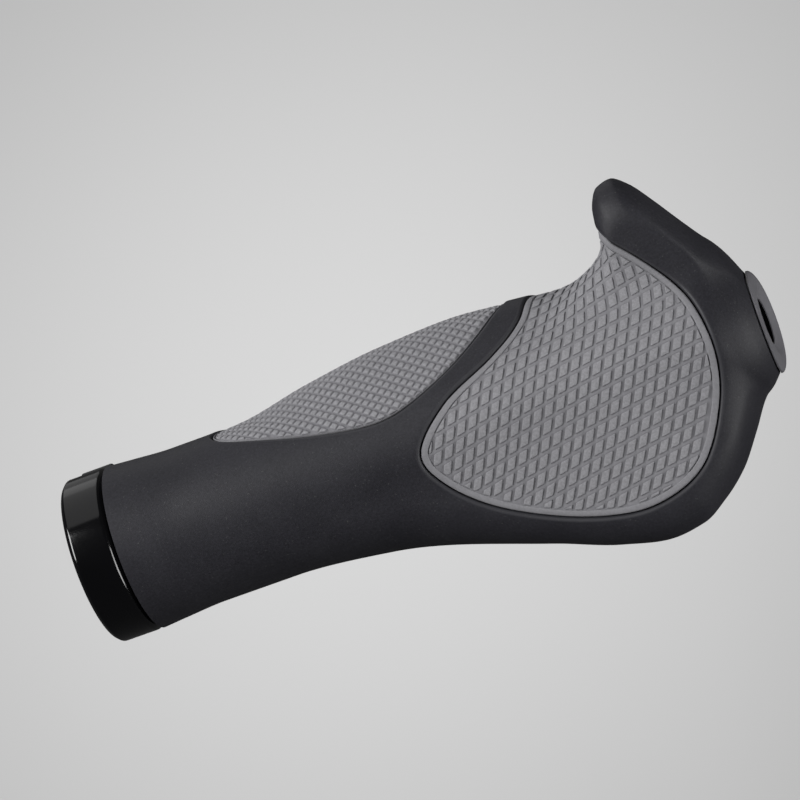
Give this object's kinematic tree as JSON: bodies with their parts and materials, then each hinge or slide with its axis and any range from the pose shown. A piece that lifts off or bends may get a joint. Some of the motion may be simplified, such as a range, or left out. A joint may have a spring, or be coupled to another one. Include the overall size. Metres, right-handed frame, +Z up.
{
  "type": "handlebar grip",
  "caption": "Right-hand ergonomic bicycle handlebar grip: rubber body with a palm wing and short horn, textured grey pads and a clamp ring.",
  "frame": {"origin": "on the handlebar's axis at the clamp ring's inner face", "axes": "+X along the handlebar towards its outer end, +Y forwards, the side of the horn, +Z up"},
  "size_m": [0.1381, 0.0646, 0.0382],
  "materials": {
    "black_rubber": "satin black moulded rubber with a fine grain",
    "grey_rubber": "matt grey rubber with raised blocks",
    "black_plastic": "satin black plastic",
    "black_gloss": "gloss black anodised",
    "dark_steel": "blackened steel"
  },
  "bodies": {
    "root": {"grip_body": "black_rubber", "palm_pad": "grey_rubber", "finger_pad": "grey_rubber", "core_sleeve": "black_plastic", "clamp_ring": "black_gloss", "clamp_bolt": "dark_steel"}
  },
  "joints": []
}
